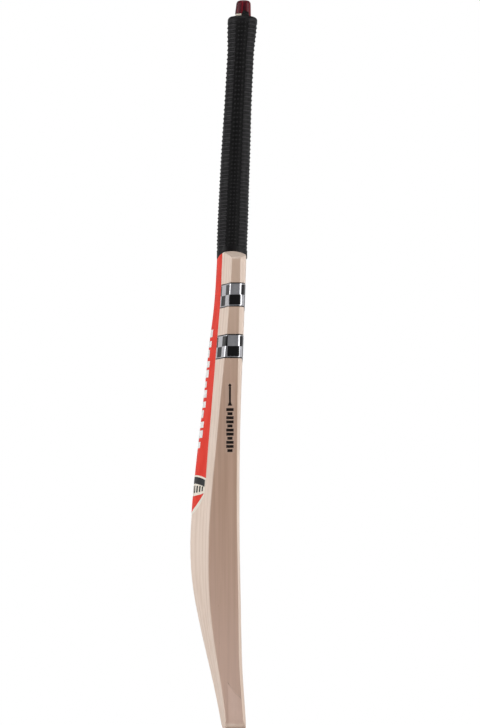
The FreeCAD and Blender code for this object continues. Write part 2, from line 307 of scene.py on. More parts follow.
def vinyl(name, light, dark, roughness=0.36, specular=0.4):
    """Printed sticker film with a faint orange peel and scuffs."""
    s = Shader(name)
    peel = s.noise((1300.0, 1300.0, 1300.0), detail=1.0)
    scuff = s.noise((90.0, 90.0, 30.0), detail=4.0)
    s.colour(s.mix(s.between(scuff, 0.3, 0.75), light, dark))
    s.set(Roughness=s.between(scuff, 0.3, 0.75, roughness, roughness + 0.12),
          Specular_IOR_Level=specular)
    s.bump(peel, 0.00003, 0.5)
    return s.material


def foil():
    """Silver foil squares: brushed across, with soft wrinkles."""
    s = Shader("silver_foil")
    brushed = s.noise((300.0, 300.0, 5200.0), detail=2.0)
    wrinkle = s.noise((120.0, 120.0, 90.0), detail=2.0)
    s.colour(s.mix(s.between(brushed, 0.3, 0.7), (0.66, 0.66, 0.68), (0.54, 0.54, 0.57)))
    s.set(Metallic=1.0, Roughness=s.between(wrinkle, 0.3, 0.7, 0.26, 0.36))
    s.bump(wrinkle, 0.0002, 0.35)
    return s.material


def paper_floor():
    """White paper that glows for the camera, more so away from the bat, as a lit sweep."""
    s = Shader("floor")
    grain = s.noise((30.0, 30.0, 30.0), detail=3.0)
    s.colour(s.mix(grain, (0.90, 0.90, 0.90), (0.94, 0.94, 0.94)))
    length = s.node("ShaderNodeVectorMath", operation="LENGTH")
    s.join(s.place, length.inputs[0])
    seen = s.node("ShaderNodeLightPath").outputs["Is Camera Ray"]
    glow = s.math("MULTIPLY", s.between(length.outputs["Value"], 0.0, GLOW_REACH, 0.5, 1.0), seen)
    s.join((1.0, 1.0, 1.0, 1.0), s.surface.inputs["Emission Color"])
    s.set(Roughness=0.9, Emission_Strength=glow)
    return s.material


# ---------------------------------------------------------------- mesh helpers

def tree_of(*names):
    """A target for rays, made of the faces of CAD nodes."""
    points, faces = [], []
    for name in names:
        mesh = NODES[name].data
        start = len(points)
        points += [v.co.copy() for v in mesh.vertices]
        faces += [[start + i for i in p.vertices] for p in mesh.polygons]
    return BVHTree.FromPolygons(points, faces)


def add_piece(name, points, faces, materials, choices=None, smooth_faces=None):
    """A new visible piece. Faces after the first smooth_faces are shaded flat."""
    mesh = bpy.data.meshes.new(name)
    mesh.from_pydata([tuple(p) for p in points], [], faces)
    for material in materials:
        mesh.materials.append(material)
    if choices is not None:
        mesh.polygons.foreach_set("material_index", choices)
    count = len(faces) if smooth_faces is None else smooth_faces
    mesh.polygons.foreach_set("use_smooth", [i < count for i in range(len(faces))])
    mesh.update()
    piece = bpy.data.objects.new(name, mesh)
    bpy.context.scene.collection.objects.link(piece)
    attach(piece, BODY)
    return piece


def close_sheet(outer, inner, faces, choices=None):
    """A thin closed body from two matching layers of points."""
    count = len(outer)
    points = list(outer) + list(inner)
    all_faces = [tuple(f) for f in faces]
    all_faces += [tuple(count + i for i in reversed(f)) for f in faces]
    picked = list(choices) * 2 if choices is not None else None
    used = {}
    for index, face in enumerate(faces):
        for a, b in zip(face, tuple(face[1:]) + (face[0],)):
            used[(a, b)] = index
    for (a, b), index in used.items():
        if (b, a) not in used:
            all_faces.append((b, a, count + a, count + b))
            if picked is not None:
                picked.append(choices[index])
    return points, all_faces, picked


def flat_pieces(outline, step):
    """A closed 2-D outline cut into cells small enough to follow a curved surface."""
    form = bmesh.new()
    corners = [form.verts.new((x, y, 0.0)) for x, y in outline]
    form.faces.new(corners)
    for index in range(2):
        low = min(p[index] for p in outline)
        high = max(p[index] for p in outline)
        direction = Vector((1, 0, 0)) if index == 0 else Vector((0, 1, 0))
        for cut in range(int(low / step) - 1, int(high / step) + 2):
            if low < cut * step < high:
                everything = form.verts[:] + form.edges[:] + form.faces[:]
                bmesh.ops.bisect_plane(form, geom=everything, dist=1e-7,
                                       plane_co=direction * cut * step, plane_no=direction)
    form.verts.index_update()
    points = [(v.co.x, v.co.y) for v in form.verts]
    faces = [tuple(v.index for v in f.verts) for f in form.faces]
    form.free()
    return points, faces


# How far a print's lower layer sinks into its surface, as a share of its thickness.
SUNK_SHARE = 0.3
RAY_START = 1.0


def printed(name, outlines, tree, side, material, step=2 * MM, thickness=0.12 * MM):
    """Print that follows a surface. Outlines lie in (x, z) for the back, side "+y", or in
    (y, z) for the edges, sides "-x" and "+x"."""
    points, inner, faces = [], [], []
    for outline in outlines:
        flat, cells = flat_pieces(outline, step)
        start = len(points)
        for across, up in flat:
            if side == "+y":
                origin, direction = Vector((across, RAY_START, up)), Vector((0, -1, 0))
            else:
                sign = -1 if side == "-x" else 1
                origin = Vector((sign * RAY_START, across, up))
                direction = Vector((-sign, 0, 0))
            hit, normal, _, _ = tree.ray_cast(origin, direction)
            if hit is None:
                raise ValueError("print %s misses its surface at %.4f %.4f" % (name, across, up))
            if normal.dot(direction) > 0:
                normal = -normal
            points.append(hit + normal * thickness)
            inner.append(hit - normal * thickness * SUNK_SHARE)
        for cell in cells:
            cell = tuple(start + i for i in cell)
            a, b, c = (points[i] for i in cell[:3])
            if (b - a).cross(c - b).dot(direction) > 0:
                cell = tuple(reversed(cell))
            faces.append(cell)
    top_faces = len(faces)
    points, faces, _ = close_sheet(points, inner, faces)
    return add_piece(name, points, faces, [material], smooth_faces=top_faces)


def rectangle(x0, x1, y0, y1):
    return [(x0, y0), (x1, y0), (x1, y1), (x0, y1)]


# ---------------------------------------------------------------- round pieces

def smooth(value):
    """An even ramp from 0 to 1, level at both ends and beyond them."""
    value = min(1.0, max(0.0, value))
    return value * value * (3 - 2 * value)


def wave(place):
    """Between 0 and 1, with a crest at each whole number."""
    return 0.5 + 0.5 * math.cos(2 * math.pi * place)


def ring_at(tree, height):
    """Centre depth and radius of a round node at one height."""
    front = tree.ray_cast(Vector((0, -RAY_START, height)), Vector((0, 1, 0)))[0]
    back = tree.ray_cast(Vector((0, RAY_START, height)), Vector((0, -1, 0)))[0]
    return (front.y + back.y) / 2, (back.y - front.y) / 2


def round_point(turn, radius, centre, height):
    """A point on a ring round the handle. Turns start at the -X side, towards the spine."""
    return Vector((-math.cos(turn) * radius, centre + math.sin(turn) * radius, height))


def tube_faces(rings, columns, closed):
    """Faces between neighbouring rings, and between the last and the first if closed."""
    faces = []
    for j in range(rings if closed else rings - 1):
        a, b = j * columns, (j + 1) % rings * columns
        for i in range(columns):
            n = (i + 1) % columns
            faces.append((a + n, a + i, b + i, b + n))
    return faces


def store(piece, name, values):
    """Keep one number for each point of a piece, for its material to read."""
    layer = piece.data.attributes.new(name, "FLOAT", "POINT")
    layer.data.foreach_set("value", values)


# ---------------------------------------------------------------- the grip

GRIP_COLUMNS = 256
GRIP_WALL = 2.2 * MM
GRIP_TOP_ROUNDING = 6 * MM
TREAD_END_GAP = 0.2 * MM
# The skirt: mesh rows that even out the cut lower edge, up to this height above its lowest point.
SKIRT_HEIGHT = 16 * MM
SKIRT_ROWS = 15
EDGE_TOLERANCE = 1.2 * MM
EDGE_STEP = 0.25 * MM
EDGE_RAY = 0.1
# Tread heights go from 0 at the deepest to 1 at the sleeve's full size.
RELIEF_DEPTH = 0.9 * MM
TREAD_FLOOR = 0.08
BOTTOM_COLLAR = 7.5 * MM
BOTTOM_COLLAR_RELIEF = 0.62
COLLAR_FADE = 1.5 * MM
LIP_HEIGHT = 0.8 * MM
LIP_DROP = 0.5
TOP_COLLAR = 2.6 * MM
TOP_COLLAR_RELIEF = 0.80
# Ribs: height up the bat with the pitch there, and mesh rows per rib.
RIB_PITCHES = [(0.560, 4.35 * MM), (0.640, 4.4 * MM), (0.680, 4.95 * MM), (0.715, 5.4 * MM),
               (0.785, 5.45 * MM), (0.840, 5.0 * MM)]
ROWS_PER_RIB = 10
RIB_SWAY = 0.09
RIB_RIPPLE = 0.035
RIPPLE_UP, RIPPLE_ROUND = 3.1, 5.0
RIB_START = 0.30
RIB_FLANK = 0.42
# Panels: four of ribs and four of pips, the pip panels at the sides, front and back.
QUARTER = math.pi / 2
PIP_PANEL_HALF = math.radians(21.5)
PANEL_FADE = math.radians(2.6)
PIP_MARGIN = math.radians(4.0)
PIP_SPACING = 3.25 * MM
PIP_ROW_SPACING = 5.0 * MM
PIP_RADIUS = 1.12 * MM
PIP_FULLNESS = 2.4
# Low studs between the ribs, near the ends of a rib panel.
STUD_SPACING = 2.6 * MM
STUD_HEIGHT = 0.34
STUD_START = 0.35
STUD_FLANK = 0.3
STUD_CLEAR = math.radians(9.0)
STUD_FADE = math.radians(3.0)
# The mouth: a rolled shoulder, then a lip that closes on the end of the handle with a small flap.
MOUTH_PROBE = 1 * MM
BEND_ROWS = 12
BEND_INSET = 0.15 * MM
MOUTH_SINK = 1.3 * MM
MOUTH_LIFT = 0.5 * MM
MOUTH_LIFT_TURN = math.radians(28)
MOUTH_WOBBLE = 0.5 * MM
WOBBLE_SCALE = 2
WOBBLE_PLACE = 3.1
LIP_ROWS = 4
LIP_GAP = 0.15 * MM
LIP_FALL = 0.4 * MM
# The lip's relief only sets its colour, and it falls towards the handle's end as painted shade.
LIP_RELIEF = 0.7
LIP_PAINTED_SHADE_FALL = 0.4
INNER_GAP = 0.05 * MM
INNER_RISE = 1.5 * MM
INNER_ROW_STEP = 24
FLAP_TURN = math.radians(-20)
FLAP_HALF = math.radians(32)
FLAP_HEIGHT = 3.6 * MM
FLAP_FLANK = 0.35
FLAP_LEVEL = 0.88
FLAP_RAGGED = 0.07


def tread(turn, row, radius):
    """Height of the tread: rib panels and pip panels take turns round the grip.
    row counts the ribs up the sleeve."""
    local = (turn + QUARTER / 2) % QUARTER - QUARTER / 2
    if abs(local) < PIP_PANEL_HALF:
        return pip(local, row - math.floor(row) - 0.5, radius)
    sway = RIB_RIPPLE * math.sin(RIPPLE_UP * row + RIPPLE_ROUND * turn)
    sway += RIB_SWAY * math.sin(turn * 2)
    rib = smooth((wave(row + sway) - RIB_START) / RIB_FLANK)
    beside = abs(abs(local) - QUARTER / 2)
    stud = smooth((wave(beside * radius / STUD_SPACING) - STUD_START) / STUD_FLANK)
    near_end = smooth((beside - STUD_CLEAR) / STUD_FADE)
    groove = TREAD_FLOOR + STUD_HEIGHT * stud * near_end
    inside = smooth((abs(local) - PIP_PANEL_HALF) / PANEL_FADE)
    return TREAD_FLOOR + (max(rib, groove) - TREAD_FLOOR) * inside


def pip(local, line, radius):
    """Small domes in rows and columns across a pip panel. line is the distance from the
    nearest row of pips, in rows."""
    spacing = PIP_SPACING / radius
    place = local / spacing
    column = round(place)
    if abs(column) * spacing > PIP_PANEL_HALF - PIP_MARGIN:
        return TREAD_FLOOR
    across = (place - column) * spacing * radius
    away = math.hypot(across, line * PIP_ROW_SPACING) / PIP_RADIUS
    if away >= 1:
        return TREAD_FLOOR
    return TREAD_FLOOR + (1.0 - TREAD_FLOOR) * (1.0 - away ** PIP_FULLNESS)


def rib_pitch(height):
    """The ribs stand closer together where the sleeve is stretched wide."""
    below = RIB_PITCHES[0]
    for above in RIB_PITCHES[1:]:
        if height < above[0]:
            share = max(0.0, (height - below[0]) / (above[0] - below[0]))
            return below[1] + (above[1] - below[1]) * share
        below = above
    return below[1]


def grip_rows(low, high):
    """Heights of the mesh rows between two levels, with the rib count at each."""
    rows = []
    height, count = low, 0.0
    while height < high:
        rows.append((height, count))
        height += rib_pitch(height) / ROWS_PER_RIB
        count += 1 / ROWS_PER_RIB
    return rows


def lower_edge(tree, centre, turn, radius, low, high):
    """Height at which the sleeve starts on one side."""
    out = round_point(turn, 1.0, 0.0, 0.0)
    height = low
    while height < high:
        axis_point = Vector((0, centre, height))
        hit = tree.ray_cast(axis_point + out * EDGE_RAY, -out)[0]
        if hit is not None:
            offset = hit - axis_point
            if offset.length > radius - EDGE_TOLERANCE and offset.dot(out) > 0:
                return height
        height += EDGE_STEP
    return high


def past_collar(shown, above):
    """The tread as it comes out of the plain collar, above the sleeve's lower edge."""
    share = smooth((above - BOTTOM_COLLAR + MM) / COLLAR_FADE)
    return BOTTOM_COLLAR_RELIEF + (shown - BOTTOM_COLLAR_RELIEF) * share


def skirt_rings(turns, starts, level, centre, radius):
    """Rings from the cut lower edge up to a level one, each with its tread heights."""
    rings = []
    for k in range(SKIRT_ROWS):
        ring, heights = [], []
        for turn, start in zip(turns, starts):
            height = start + (level - start) * k / SKIRT_ROWS
            above = height - start
            shown = BOTTOM_COLLAR_RELIEF
            if above > BOTTOM_COLLAR:
                shown = tread(turn, (height - level) / rib_pitch(level), radius)
            shown = past_collar(shown, above) - LIP_DROP * smooth(1 - above / LIP_HEIGHT)
            sunk = RELIEF_DEPTH * (1 - shown)
            ring.append(round_point(turn, radius - sunk, centre, height))
            heights.append(shown)
        rings.append((ring, heights))
    return rings


def tread_rings(turns, starts, profile, collar_start):
    """Rings up the tread, to the plain collar under the mouth."""
    rings = []
    for height, count, centre, radius in profile:
        ring, heights = [], []
        collar = smooth((height - collar_start) / MM)
        for turn, start in zip(turns, starts):
            shown = tread(turn, count, radius)
            shown += (TOP_COLLAR_RELIEF - shown) * collar
            shown = past_collar(shown, height - start)
            sunk = RELIEF_DEPTH * (1 - shown)
            ring.append(round_point(turn, radius - sunk, centre, height))
            heights.append(shown)
        rings.append((ring, heights))
    return rings


def shoulder_rings(turns, low, centre, radius):
    """The rolled shoulder, which stands a little higher on one side."""
    rings = []
    for k in range(1, BEND_ROWS + 1):
        angle = math.pi / 2 * k / BEND_ROWS
        share = smooth(k / BEND_ROWS)
        inset = GRIP_TOP_ROUNDING * (1 - math.cos(angle)) + BEND_INSET
        height = low + GRIP_TOP_ROUNDING * math.sin(angle)
        ring = []
        for turn in turns:
            spot = (math.cos(turn) * WOBBLE_SCALE, math.sin(turn) * WOBBLE_SCALE, WOBBLE_PLACE)
            lifted = noise.noise(Vector(spot)) * MOUTH_WOBBLE - MOUTH_SINK
            lifted += MOUTH_LIFT * smooth(math.cos(turn - MOUTH_LIFT_TURN))
            ring.append(round_point(turn, radius - inset, centre, height + lifted * share))
        rings.append((ring, [TOP_COLLAR_RELIEF] * GRIP_COLUMNS))
    return rings


def flap(turn):
    """Height, 0 to about 1, of the flap of rubber against the end of the handle."""
    away = (turn - FLAP_TURN + math.pi) % (2 * math.pi) - math.pi
    top = FLAP_LEVEL + FLAP_RAGGED * math.sin(away * 8 + 0.6)
    return smooth((FLAP_HALF - abs(away)) / (FLAP_FLANK * FLAP_HALF)) * top


def lip_rings(turns, before, centre, radius):
    """Rings from the shoulder in to the handle's end, rising along the flap."""
    rings = []
    for k in range(1, LIP_ROWS + 1):
        ring = []
        for turn, point in zip(turns, before):
            rise = flap(turn) * FLAP_HEIGHT - LIP_FALL
            goal = round_point(turn, radius + LIP_GAP, centre, point.z + rise)
            ring.append(point.lerp(goal, 1 / (LIP_ROWS + 1 - k)))
        # Painted shade: the lip's colour darkens row by row towards the handle's end.
        shown = LIP_RELIEF - LIP_PAINTED_SHADE_FALL * k / LIP_ROWS
        rings.append((ring, [shown] * GRIP_COLUMNS))
        before = ring
    return rings


def make_grip(material):
    """The rubber sleeve, with its tread, its mouth and its inside wall, as one closed tube."""
    tree = tree_of("handle_grip")
    lo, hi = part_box("handle_grip")
    level = lo.z + SKIRT_HEIGHT
    bend_start = hi.z - GRIP_TOP_ROUNDING
    rows = grip_rows(level, bend_start - TREAD_END_GAP)
    profile = [(height, count, *ring_at(tree, height)) for height, count in rows]
    foot_centre, foot_radius = profile[0][2:]
    top_centre, top_radius = profile[-1][2:]
    mouth_centre, mouth_radius = ring_at(tree_of("handle_knob"), hi.z - MOUTH_PROBE)
    turns = [2 * math.pi * i / GRIP_COLUMNS for i in range(GRIP_COLUMNS)]
    starts = [lower_edge(tree, foot_centre, t, foot_radius, lo.z, level) for t in turns]
    starts = [(starts[i - 1] + starts[i] + starts[(i + 1) % GRIP_COLUMNS]) / 3
              for i in range(GRIP_COLUMNS)]

    rings = skirt_rings(turns, starts, level, foot_centre, foot_radius)
    rings += tread_rings(turns, starts, profile, bend_start - TOP_COLLAR)
    rings += shoulder_rings(turns, bend_start, top_centre, top_radius)
    rings += lip_rings(turns, rings[-1][0], mouth_centre, mouth_radius)
    inside = [(mouth_radius + INNER_GAP, mouth_centre, [bend_start + INNER_RISE] * GRIP_COLUMNS)]
    inside += [(radius - GRIP_WALL, centre, [height] * GRIP_COLUMNS)
               for height, _, centre, radius in reversed(profile[::INNER_ROW_STEP])]
    inside.append((foot_radius - GRIP_WALL, foot_centre, starts))
    for radius, centre, heights in inside:
        ring = [round_point(t, radius, centre, height) for t, height in zip(turns, heights)]
        # The inside wall's relief of 0 gives it the grooves' painted shade.
        rings.append((ring, [0.0] * GRIP_COLUMNS))

    points = [point for ring, _ in rings for point in ring]
    faces = tube_faces(len(rings), GRIP_COLUMNS, closed=True)
    piece = add_piece("grip_sleeve", points, faces, [material])
    store(piece, "relief", [shown for _, heights in rings for shown in heights])
    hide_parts("handle_grip")


# ---------------------------------------------------------------- the end of the handle

KNOB_COLUMNS = 144
KNOB_ROUNDING = 4.4 * MM
KNOB_INSET = 0.05 * MM
KNOB_PROBE = 0.5 * MM
COAT_STEP = 0.5 * MM
COAT_ROWS = 16
ROUNDING_ROWS = 10
# The lacquer's hem, above the foot: its height in front, and its rise towards the spine.
HEM_HEIGHT = 3.4 * MM
HEM_RISE = 2.9 * MM
HEM_START, HEM_FLANK = 0.05, 0.25
HEM_LEDGE = 0.02 * MM
# Rings up the bare foot, as shares of the hem's height, and over the top, as shares of its rim.
FOOT_SHARES = (0.02, 0.4, 0.8, 1.0)
CAP_SHARES = (0.7, 0.4, 0.12)
CAP_SINK = 0.25 * MM
# Painted highlight streaks in the lacquer: direction, half width in degrees, strength.
PAINTED_HIGHLIGHT_STREAKS = [(8, 5, 0.8), (-66, 12, 0.75), (-28, 8, 0.35), (44, 6, 0.3), (112, 8, 0.5),
           (158, 6, 0.4), (196, 10, 0.6), (236, 6, 0.35), (262, 7, 0.5)]
# Soft grooves left by the dipping: direction in degrees, depth; and the half width of all.
GROOVES = [(62, 0.28 * MM), (24, 0.14 * MM), (-12, 0.18 * MM), (-50, 0.12 * MM), (95, 0.2 * MM),
           (140, 0.15 * MM), (180, 0.24 * MM), (222, 0.16 * MM), (250, 0.2 * MM)]
GROOVE_WIDTH = 9


def hump(turn, degrees, width):
    """1 in one direction, falling off to either side of it. Widths are in degrees."""
    apart = abs((math.degrees(turn) - degrees + 180) % 360 - 180)
    return math.exp(-(apart / width) ** 2)


def make_knob(material):
    """The turned end of the handle: bare foot, lacquer with a raised hem, rounded top."""
    tree = tree_of("handle_knob")
    lo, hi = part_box("handle_knob")
    straight_top = hi.z - KNOB_ROUNDING
    low_centre, low_radius = ring_at(tree, lo.z + KNOB_PROBE)
    top_centre, top_radius = ring_at(tree, straight_top)
    turns = [2 * math.pi * i / KNOB_COLUMNS for i in range(KNOB_COLUMNS)]
    grooves = [sum(depth * hump(turn, place, GROOVE_WIDTH) for place, depth in GROOVES)
               for turn in turns]

    def straight_ring(heights, drop):
        """A ring on the cone between foot and rounding, sunk by its grooves and a drop."""
        ring = []
        for turn, groove, height in zip(turns, grooves, heights):
            share = (height - lo.z) / (straight_top - lo.z)
            radius = low_radius + (top_radius - low_radius) * share
            centre = low_centre + (top_centre - low_centre) * share
            ring.append(round_point(turn, radius - drop - KNOB_INSET - groove, centre, height))
        return ring

    def drawn_in(ring, share, height):
        """A ring made smaller about the top's axis."""
        return [Vector((p.x * share, top_centre + (p.y - top_centre) * share, height))
                for p in ring]

    hems = [lo.z + HEM_HEIGHT + HEM_RISE * smooth((math.sin(turn) - HEM_START) / HEM_FLANK)
            for turn in turns]
    rings = [straight_ring([lo.z + (hem - lo.z) * share for hem in hems], COAT_STEP)
             for share in FOOT_SHARES]
    rings.append(straight_ring([hem + HEM_LEDGE for hem in hems], 0.0))
    rings += [straight_ring([hem + (straight_top - hem) * k / COAT_ROWS for hem in hems], 0.0)
              for k in range(1, COAT_ROWS + 1)]
    last_straight = rings[-1]
    for k in range(1, ROUNDING_ROWS + 1):
        angle = math.pi / 2 * k / ROUNDING_ROWS
        inset = KNOB_ROUNDING * (1 - math.cos(angle))
        height = straight_top + KNOB_ROUNDING * math.sin(angle)
        rings.append(drawn_in(last_straight, 1 - inset / top_radius, height))
    rim = rings[-1]
    rings += [drawn_in(rim, share, hi.z - CAP_SINK * (1 - share)) for share in CAP_SHARES]

    points = [point for ring in rings for point in ring]
    faces = tube_faces(len(rings), KNOB_COLUMNS, closed=False)
    faces.append(tuple(range(KNOB_COLUMNS)))
    faces.append(tuple(reversed(range(len(points) - KNOB_COLUMNS, len(points)))))
    piece = add_piece("handle_end", points, faces, [material])
    bare = len(FOOT_SHARES) * KNOB_COLUMNS
    store(piece, "coat", [0.0] * bare + [1.0] * (len(points) - bare))
    # The tone holds painted highlight streaks, stronger in some directions round the end than
    # others.
    streak_highlight = [max(strength * hump(turn, place, width) for place, width, strength in PAINTED_HIGHLIGHT_STREAKS)
              for turn in turns]
    store(piece, "tone", streak_highlight * len(rings))
    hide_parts("handle_knob")


# ---------------------------------------------------------------- the chequered bands

SQUARE = 14.4 * MM
COLUMN_SHIFT = 1.7 * MM
INK_LINE = 1.3 * MM
PALE_LINE = 0.8 * MM
SQUARE_ROWS = 4
BAND_MARGIN = 0.05 * MM
BAND_DEPTH = 0.20 * MM
BAND_STEP = 0.55 * MM
EDGE_REACH = 0.06 * MM
CONTOUR_RAYS = 1500
CONTOUR_START = 0.2
MOST_COLUMNS = 20
SAME_PLACE = 1e-6
BLACK, SILVER = 0, 1


def contour(tree, height, centre):
    """The band's outline at one height, from the face's middle round one side (-X)."""
    points = []
    for k in range(CONTOUR_RAYS):
        angle = math.pi * k / (CONTOUR_RAYS - 1)
        out = Vector((-math.sin(angle), -math.cos(angle), 0))
        start = Vector((0, centre, height)) + out * CONTOUR_START
        hit = tree.ray_cast(start, -out, CONTOUR_START)[0]
        if hit is not None:
            points.append(hit)
        elif len(points) > CONTOUR_RAYS // 4:
            break
    return points


def steps_of(path):
    """Lengths of the steps along a path."""
    return [(b - a).length for a, b in zip(path, path[1:])]


def walk(points, distances):
    """Points at given distances along a path; past its end, its last point."""
    found = []
    index, run = 0, 0.0
    for goal in distances:
        while index < len(points) - 2:
            length = (points[index + 1] - points[index]).length
            if run + length >= goal:
                break
            run += length
            index += 1
        length = (points[index + 1] - points[index]).length
        share = min(1.0, max(0.0, (goal - run) / max(length, 1e-9)))
        found.append(points[index].lerp(points[index + 1], share))
    return found


def band_rows(low, high):
    """Heights of the band's mesh rows, and what is printed between them."""
    middle = (low + high) / 2
    base = low + INK_LINE + PALE_LINE
    lower = [low, low + INK_LINE, base]
    lower += [base + (middle - base) * k / SQUARE_ROWS for k in range(1, SQUARE_ROWS + 1)]
    rows = lower + [2 * middle - row for row in reversed(lower[:-1])]
    squares = ["lower"] * SQUARE_ROWS + ["upper"] * SQUARE_ROWS
    return rows, ["ink", "pale"] + squares + ["pale", "ink"]


def edge_distance(path, half_width):
    """How far along a path the blade's edge starts."""
    run = 0.0
    for step, point in zip(steps_of(path), path[1:]):
        run += step
        if abs(point.x) > half_width - EDGE_REACH:
            return run
    raise ValueError("the band doesn't reach the edge of the blade")


def band_columns(first, length):
    """Distances of the mesh columns from the face's middle, with one at each square's side."""
    sides = [first % SQUARE + SQUARE * k for k in range(MOST_COLUMNS)]
    sides = [side for side in sides if 0 < side < length]
    even = [BAND_STEP * k for k in range(int(length / BAND_STEP))]
    places = sorted(even + sides + [length])
    return [d for i, d in enumerate(places) if i == 0 or d - places[i - 1] > SAME_PLACE]


def band_colour(kind, place):
    """Black or silver. place is the distance past the first side of a square at the edge."""
    if kind == "ink":
        return BLACK
    if kind == "pale":
        return SILVER
    even = math.floor(place / SQUARE) % 2 == 0
    return SILVER if even == (kind == "upper") else BLACK


def make_band(name, piece_name, black, silver):
    """A foil band with two rows of squares, the same on both sides of the blade."""
    tree = tree_of(name)
    lo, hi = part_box(name)
    centre = (lo.y + hi.y) / 2
    rows, kinds = band_rows(lo.z + BAND_MARGIN, hi.z - BAND_MARGIN)
    paths = [contour(tree, row, centre) for row in rows]
    length = min(sum(steps_of(path)) for path in paths)
    first = edge_distance(paths[len(paths) // 2], abs(lo.x)) - COLUMN_SHIFT
    distances = band_columns(first, length)
    outer = []
    for path in paths:
        half = walk(path, distances)
        outer += [Vector((-p.x, p.y, p.z)) for p in reversed(half[1:])] + half
    inner = [p + (Vector((0, centre, p.z)) - p).normalized() * BAND_DEPTH for p in outer]
    signed = [-d for d in reversed(distances[1:])] + distances
    width = len(signed)
    faces, choices = [], []
    for j, kind in enumerate(kinds):
        for i in range(width - 1):
            a, b = j * width + i, (j + 1) * width + i
            faces.append((a, b, b + 1, a + 1))
            choices.append(band_colour(kind, abs((signed[i] + signed[i + 1]) / 2) - first))
    top_faces = len(faces)
    points, faces, choices = close_sheet(outer, inner, faces, choices)
    piece = add_piece(piece_name, points, faces, [black, silver], choices,
                      smooth_faces=top_faces)
    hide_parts(name)


# ---------------------------------------------------------------- prints on the stickers

# Blocks down the spine sticker. Heights are shares of a block's room, for even and odd blocks.
BLOCKS_LOW = 328 * MM
BLOCKS_HIGH = 470 * MM
BLOCKS = 12
BLOCK_HALF = 13.2 * MM
BLOCK_TAPER = 0.25 * MM
NARROW_BLOCK = 0.72
BLOCK_HEIGHTS = (0.62, 0.76)
# The shield: borders left pale at its sides, top and tip, then its arch, point and bars.
SHIELD_SIDE = 1.4 * MM
SHIELD_TOP = 2.0 * MM
SHIELD_TIP = 3.6 * MM
SHIELD_CORNER = 25.6 * MM
SHIELD_BOW = 1.6 * MM
SHIELD_STEPS = 8
ARCH_STEPS = 12
ARCH_CROWN = 5 * MM
ARCH_DEPTH = 8.0 * MM
POINT_SAG = 2.4 * MM
POINT_TOP = (-0.75, -0.5, -0.25, 0, 0.25, 0.5, 0.75)
BARS_BESIDE = 4
BAR_SPACING = 6.6 * MM
BAR_HALF = 1.6 * MM
BAR_HEIGHT = 8.8 * MM
BAR_SHORTENING = 3.0 * MM
BAR_GAP = 1.2 * MM
# The edge label: a pin with a diamond head, over a ladder of bars.
EDGE_MARGIN = 1.0 * MM
HEAD_HALF = 1.9 * MM
HEAD_HEIGHT = 4.8 * MM
PIN_TOP = 4.0 * MM
PIN_HALF = 1.15 * MM
PIN_FOOT = 26 * MM
PIN_FOOT_HALF = 2.6 * MM
PIN_FLARE = 4 * MM
LADDER_GAP = 1.5 * MM
LADDER_BARS = 11
LADDER_LONG = 4.3 * MM
LADDER_SHORT = 3.0 * MM
LADDER_HEIGHT = 0.72
INK_THICKNESS = 0.06 * MM
# The line of glue, from behind the face's rounding to the back of the toe film.
SEAM_FRONT = (2.2 * MM, 34.2 * MM)
SEAM_BACK = (-0.3 * MM, -0.6 * MM)
SEAM_BOW = 1.4 * MM
SEAM_WIDTH = 1.8 * MM
SEAM_STEPS = 10
SEAM_THICKNESS = 0.08 * MM


def make_spine_marks(white):
    """A row of plain blocks, long and short, down the spine sticker."""
    unit = (BLOCKS_HIGH - BLOCKS_LOW) / BLOCKS
    outlines = []
    for k in range(BLOCKS):
        base = BLOCKS_LOW + unit * k
        half = (BLOCK_HALF - BLOCK_TAPER * k) * (1.0 if k % 3 else NARROW_BLOCK)
        outlines.append(rectangle(-half, half, base, base + BLOCK_HEIGHTS[k % 2] * unit))
    printed("spine_marks", outlines, tree_of("spine_label"), "+y", white)


def shield_line(half, low, side):
    """Points down the shield's lower right side, from its corner to its tip."""
    points = []
    for k in range(SHIELD_STEPS + 1):
        t = k / SHIELD_STEPS
        bow = SHIELD_BOW * math.sin(math.pi * t)
        points.append((half * (1 - t), side + (low - side) * t - bow))
    return points


def make_shield_marks(black, red):
    """A black arch over a pale band with plain bars, and a red point."""
    tree = tree_of("shield_label")
    lo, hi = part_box("shield_label")
    half = hi.x - SHIELD_SIDE
    top = hi.z - SHIELD_TOP
    places = [-half + 2 * half * k / ARCH_STEPS for k in range(ARCH_STEPS + 1)]
    arch = [(x, top - ARCH_CROWN * (x / half) ** 2) for x in places]
    under = [(x, z - ARCH_DEPTH) for x, z in reversed(arch)]
    printed("shield_arc", [arch + under], tree, "+y", black)

    side = lo.z + SHIELD_CORNER
    right = shield_line(half, lo.z + SHIELD_TIP, side)
    left = [(-x, z) for x, z in reversed(right[:-1])]
    lid = [(x * half, side - POINT_SAG * (1 - x * x)) for x in POINT_TOP]
    printed("shield_point", [right + left + lid], tree, "+y", red)

    bars = []
    for k in range(-BARS_BESIDE, BARS_BESIDE + 1):
        middle = k * BAR_SPACING
        outward = (k / BARS_BESIDE) ** 2
        base = side + BAR_GAP * (1 + outward)
        tall = BAR_HEIGHT - BAR_SHORTENING * outward
        bars.append(rectangle(middle - BAR_HALF, middle + BAR_HALF, base, base + tall))
    printed("shield_bars", bars, tree, "+y", black)


